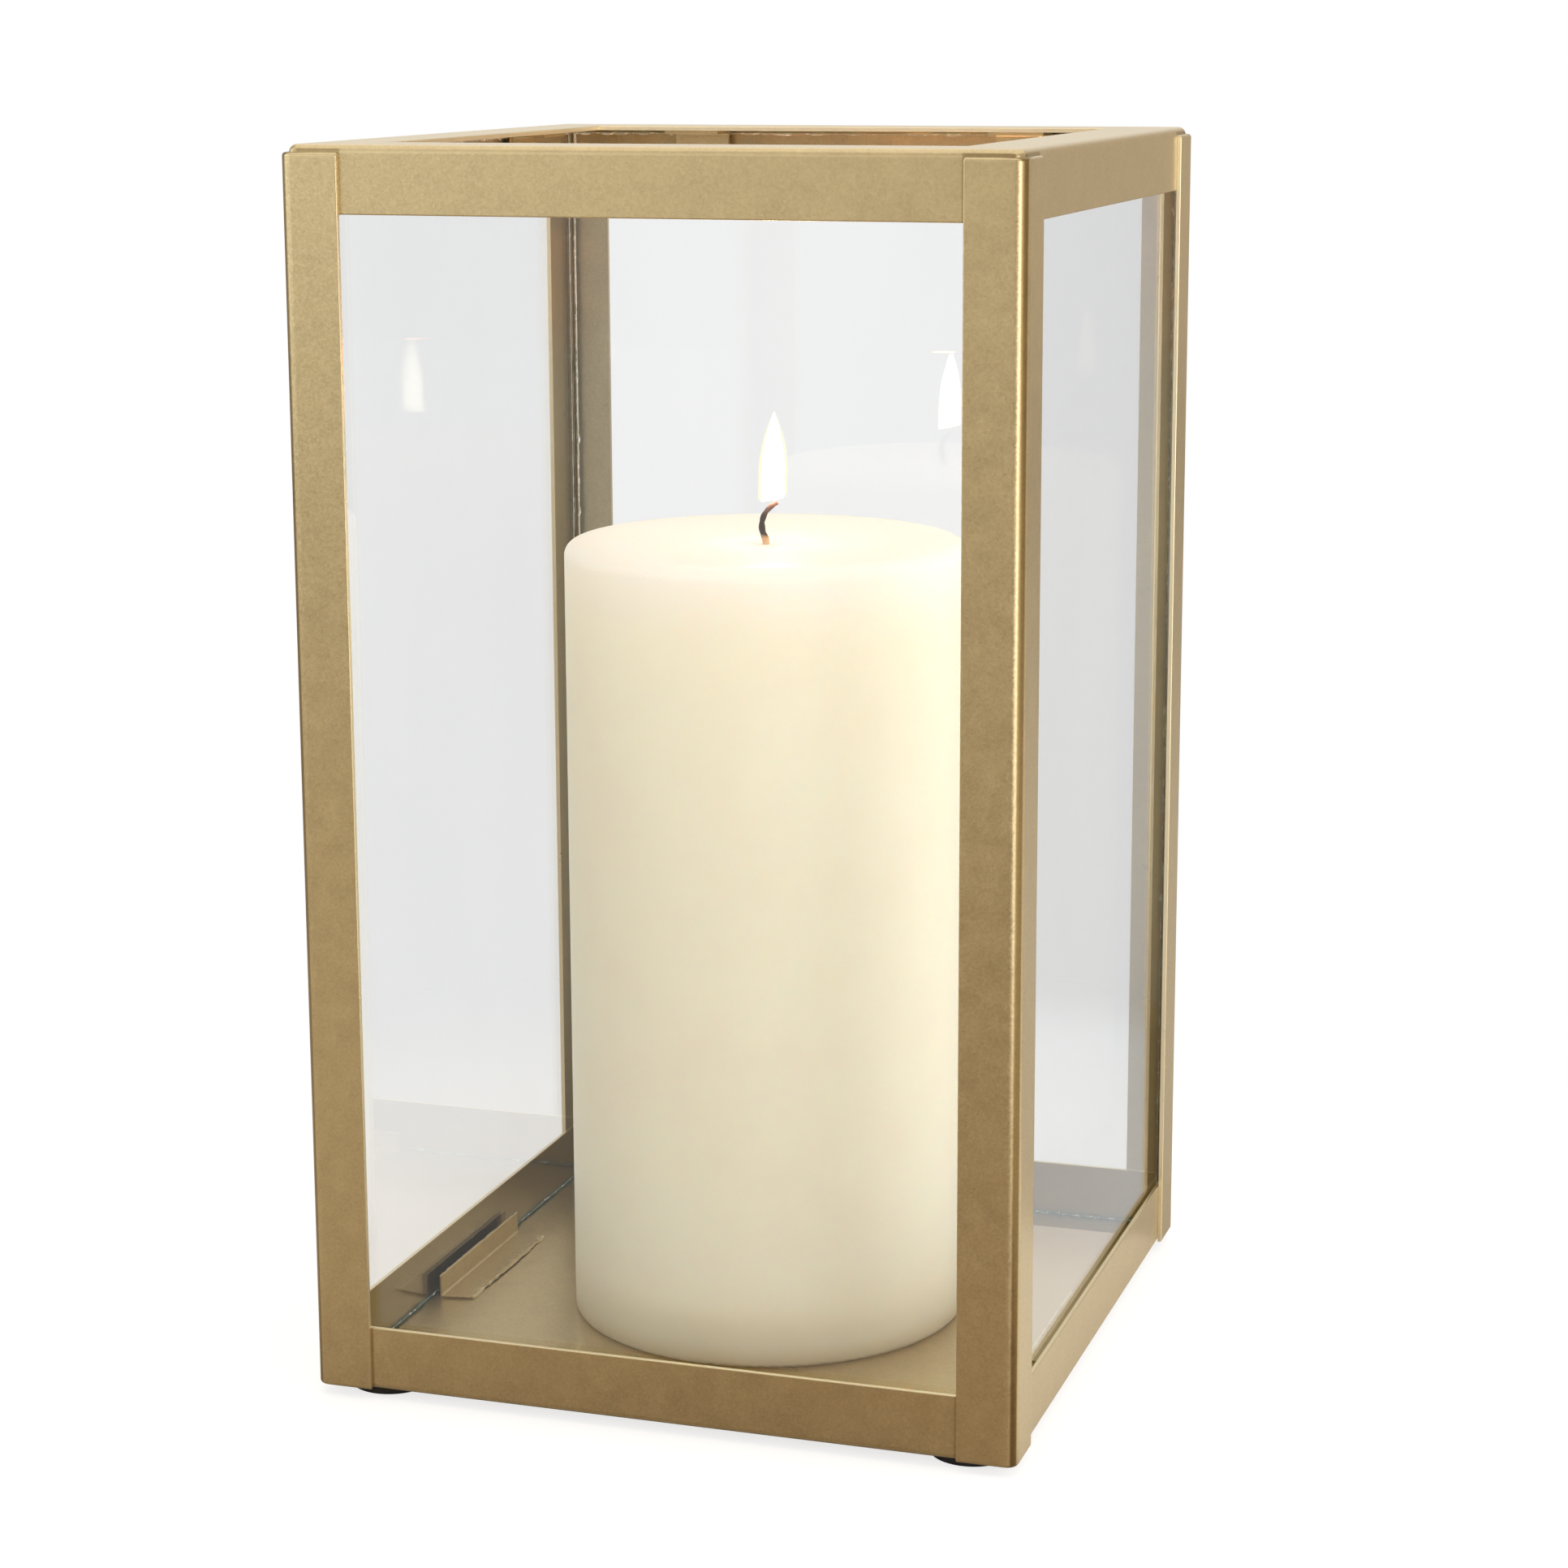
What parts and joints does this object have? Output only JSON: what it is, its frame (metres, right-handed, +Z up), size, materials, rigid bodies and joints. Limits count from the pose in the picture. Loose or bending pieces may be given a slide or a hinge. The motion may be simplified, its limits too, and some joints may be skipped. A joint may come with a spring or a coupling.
{
  "type": "candle lantern",
  "caption": "Square open-topped candle lantern: sheet-steel frame glazed with clear panes, around a pillar candle that lifts out through the top.",
  "frame": {"origin": "under the middle of the lantern, on the surface that its feet stand on", "axes": "+Z up, -Y towards the front, +X to the right"},
  "size_m": [0.178, 0.178, 0.305],
  "materials": {
    "champagne_gold_paint": "satin metallic paint with fine flake",
    "clear_glass": "clear float glass with raw cut edges",
    "ivory_wax": "smooth translucent wax",
    "cotton_wick": "braided cotton, charred at its end",
    "tinned_steel": "bright tin plate",
    "black_rubber": "smooth black rubber"
  },
  "bodies": {
    "frame": {"top_ring": "champagne_gold_paint", "base_tray": "champagne_gold_paint", "corner_post_front_left": "champagne_gold_paint", "corner_post_front_right": "champagne_gold_paint", "corner_post_back_left": "champagne_gold_paint", "corner_post_back_right": "champagne_gold_paint", "glass_pane_front": "clear_glass", "glass_pane_right": "clear_glass", "glass_pane_back": "clear_glass", "glass_pane_left": "clear_glass", "bottom_clip_front": "champagne_gold_paint", "bottom_clip_right": "champagne_gold_paint", "bottom_clip_back": "champagne_gold_paint", "bottom_clip_left": "champagne_gold_paint", "top_clip_front_1": "champagne_gold_paint", "top_clip_front_2": "champagne_gold_paint", "top_clip_right_1": "champagne_gold_paint", "top_clip_right_2": "champagne_gold_paint", "top_clip_back_1": "champagne_gold_paint", "top_clip_back_2": "champagne_gold_paint", "top_clip_left_1": "champagne_gold_paint", "top_clip_left_2": "champagne_gold_paint", "foot_front_left": "black_rubber", "foot_front_right": "black_rubber", "foot_back_left": "black_rubber", "foot_back_right": "black_rubber"},
    "candle": {"candle_body": "ivory_wax", "candle_wick": "cotton_wick", "wick_sustainer": "tinned_steel"}
  },
  "joints": [
    {"name": "candle_lift", "type": "slide", "parent": "frame", "child": "candle", "axis": [0, 0, 1], "range_m": [0, 0.31]}
  ]
}
